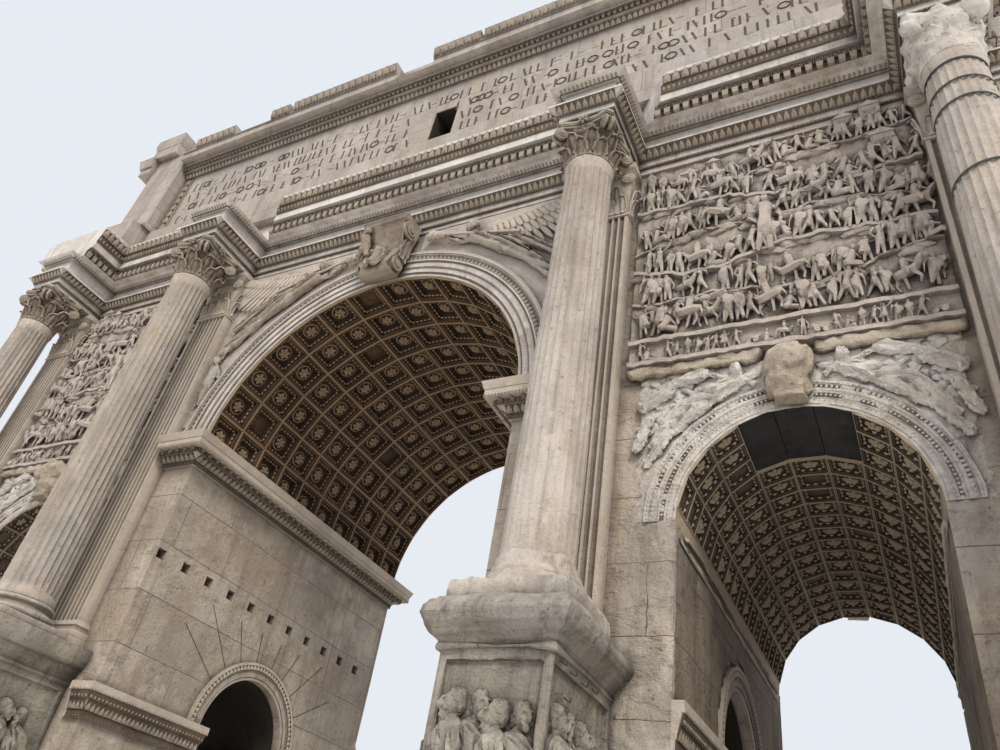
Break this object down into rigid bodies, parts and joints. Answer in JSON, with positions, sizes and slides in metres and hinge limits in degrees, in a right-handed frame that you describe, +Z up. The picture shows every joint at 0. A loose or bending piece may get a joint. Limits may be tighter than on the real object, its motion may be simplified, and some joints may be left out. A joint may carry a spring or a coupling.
{
  "type": "triumphal arch",
  "caption": "Roman marble triumphal arch: tall coffered central archway between two lower ones, cross passages, free columns on pedestals, broken entablature and hollow attic.",
  "frame": {"origin": "centre of the footprint at ground level", "axes": "+X along the long face, +Y from the front face through the archways to the back, +Z up"},
  "size_m": [23.27, 11.2, 20.88],
  "materials": {
    "wall_marble": "weathered cream marble ashlar with thin joints",
    "column_marble": "weathered fluted marble, grey and beige streaks",
    "carved_marble": "carved and weathered marble, dark in its hollows",
    "vault_stone": "brown stained coffered stone",
    "entablature_marble": "grey cream marble with carved rows",
    "attic_marble": "pinkish grey weathered marble",
    "pedestal_marble": "weathered marble with low relief"
  },
  "bodies": {
    "root": {"architrave": "entablature_marble", "archivolts": "carved_marble", "attic_back_wall": "attic_marble", "attic_base": "attic_marble", "attic_corner_blocks": "attic_marble", "attic_cornice": "attic_marble", "attic_end_walls": "attic_marble", "attic_front_wall": "attic_marble", "attic_pilasters": "attic_marble", "attic_roof": "attic_marble", "central_coffering": "vault_stone", "central_vault": "wall_marble", "column_bases": "column_marble", "column_capitals": "column_marble", "column_shaft_back_1": "column_marble", "column_shaft_back_2": "column_marble", "column_shaft_back_3": "column_marble", "column_shaft_back_4": "column_marble", "column_shaft_front_1": "column_marble", "column_shaft_front_2": "column_marble", "column_shaft_front_3": "column_marble", "column_shaft_front_4": "column_marble", "cornice": "entablature_marble", "frieze": "entablature_marble", "impost_cornices": "carved_marble", "keystones": "carved_marble", "passage_archivolts": "carved_marble", "passage_imposts": "carved_marble", "passage_vault_left": "wall_marble", "passage_vault_right": "wall_marble", "pedestals": "pedestal_marble", "pier_inner_left_back": "wall_marble", "pier_inner_left_front": "wall_marble", "pier_inner_right_back": "wall_marble", "pier_inner_right_front": "wall_marble", "pier_outer_left": "wall_marble", "pier_outer_right": "wall_marble", "pilasters": "carved_marble", "procession_friezes": "carved_marble", "relief_panels": "carved_marble", "side_coffering": "vault_stone", "side_imposts": "carved_marble", "side_vault_left": "wall_marble", "side_vault_right": "wall_marble", "upper_wall_left": "wall_marble", "upper_wall_right": "wall_marble"}
  },
  "joints": []
}
